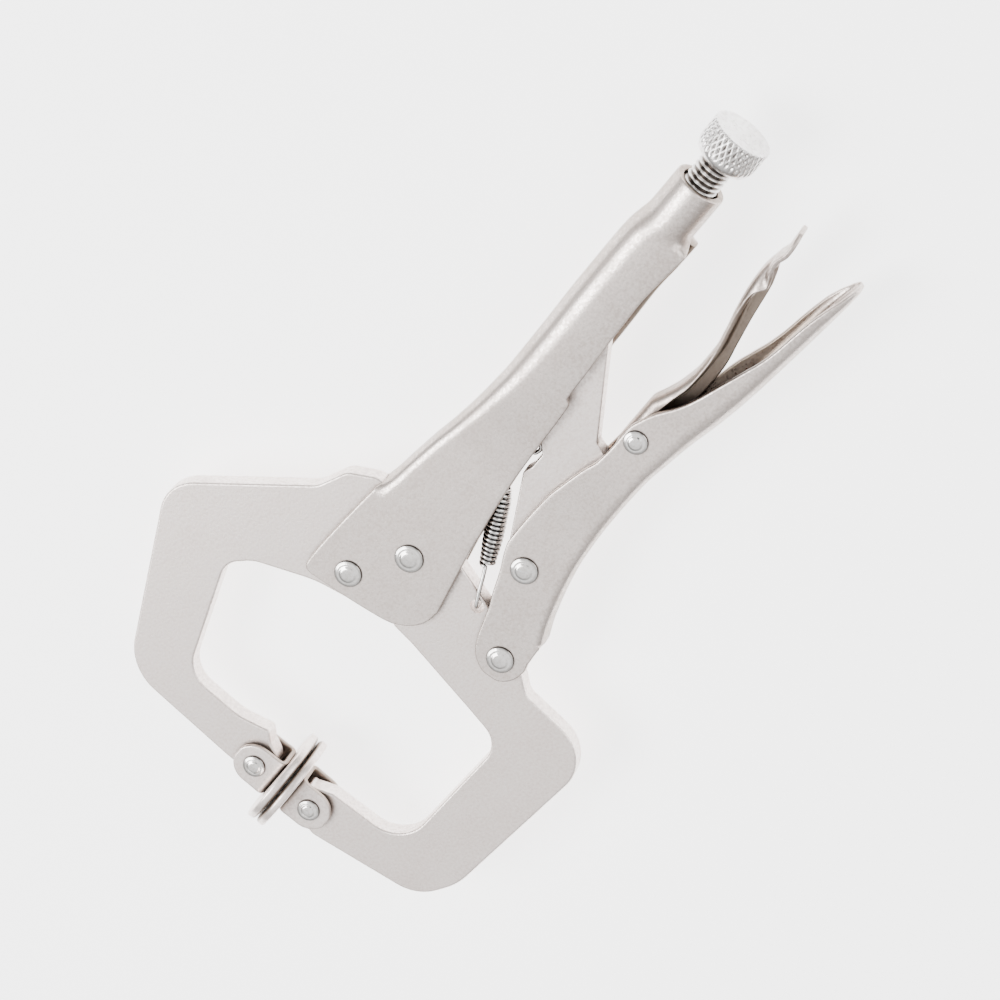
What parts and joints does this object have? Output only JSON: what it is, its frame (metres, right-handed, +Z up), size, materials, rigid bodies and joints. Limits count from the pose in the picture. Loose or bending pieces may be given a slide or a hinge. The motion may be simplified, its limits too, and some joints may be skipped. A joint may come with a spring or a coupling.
{
  "type": "locking C-clamp pliers",
  "caption": "Locking C-clamp pliers with swivel pads, riveted C-shaped plate jaws, pressed steel handles, release lever and knurled adjusting screw.",
  "frame": {"origin": "bottom centre of the tool's box, lying on its side as on a bench", "axes": "+X along the handles towards the knob, +Y towards the fixed jaw, +Z up along the rivets"},
  "size_m": [0.162, 0.086, 0.0186],
  "materials": {
    "satin_nickel": "fine-grained satin nickel plate",
    "bright_steel": "bright nickel plate",
    "spring_steel": "bright drawn wire"
  },
  "bodies": {
    "fixed_half": {"upper_handle": "satin_nickel", "fixed_jaw": "satin_nickel", "front_rivet": "bright_steel", "main_pivot_rivet": "bright_steel", "return_spring": "spring_steel"},
    "moving_jaw": {"moving_jaw": "satin_nickel"},
    "lower_handle": {"lower_handle": "satin_nickel", "handle_pivot_rivet": "bright_steel", "link_rivet": "bright_steel", "lever_rivet": "bright_steel"},
    "toggle_link": {"toggle_link": "satin_nickel"},
    "release_lever": {"release_lever": "satin_nickel"},
    "adjusting_screw": {"adjusting_screw": "bright_steel"},
    "screw_knob": {"screw_knob": "bright_steel"},
    "fixed_pad": {"fixed_pad_disc": "satin_nickel", "fixed_pad_yoke": "satin_nickel", "fixed_pad_rivet": "bright_steel"},
    "moving_pad": {"moving_pad_disc": "satin_nickel", "moving_pad_yoke": "satin_nickel", "moving_pad_rivet": "bright_steel"}
  },
  "joints": [
    {"name": "handle_swing", "type": "hinge", "parent": "moving_jaw", "child": "lower_handle", "pos_m": [-0.0217, -0.01957, 0.0093], "axis": [0, 0, 1], "range_deg": [-55, 0]},
    {"name": "jaw_pivot", "type": "hinge", "parent": "fixed_half", "child": "moving_jaw", "pos_m": [-0.0175, 0.00363, 0.0093], "axis": [0, 0, 1], "range_deg": [0, 15.2], "deforming": ["return_spring"]},
    {"name": "link_pivot", "type": "hinge", "parent": "lower_handle", "child": "toggle_link", "pos_m": [-0.0049, -0.01257, 0.0093], "axis": [0, 0, 1], "range_deg": [0, 55.1]},
    {"name": "lever_press", "type": "hinge", "parent": "lower_handle", "child": "release_lever", "pos_m": [0.028, -0.01237, 0.0093], "axis": [0, 0, 1], "range_deg": [-9, 0]},
    {"name": "knob_turn", "type": "hinge", "parent": "adjusting_screw", "child": "screw_knob", "pos_m": [0.0745, 0.00678, 0.0093], "axis": [1, 0, 0], "range_deg": [0, 3606]},
    {"name": "screw_travel", "type": "slide", "parent": "fixed_half", "child": "adjusting_screw", "axis": [1, 0, 0], "range_m": [0, 0.01]},
    {"name": "fixed_pad_swivel", "type": "hinge", "parent": "fixed_half", "child": "fixed_pad", "pos_m": [-0.0717, 0.00068, 0.0093], "axis": [0, 0, 1], "range_deg": [-12, 12]},
    {"name": "moving_pad_swivel", "type": "hinge", "parent": "moving_jaw", "child": "moving_pad", "pos_m": [-0.0717, -0.01182, 0.0093], "axis": [0, 0, 1], "range_deg": [-12.1, 12.1]}
  ],
  "couplings": [
    {"joint": "jaw_pivot", "follows": "handle_swing", "ratio": -0.275},
    {"joint": "link_pivot", "follows": "handle_swing", "ratio": -1},
    {"joint": "knob_turn", "follows": "screw_travel", "rad_per_m": 6283.2},
    {"joint": "moving_pad_swivel", "follows": "fixed_pad_swivel", "ratio": 1}
  ]
}
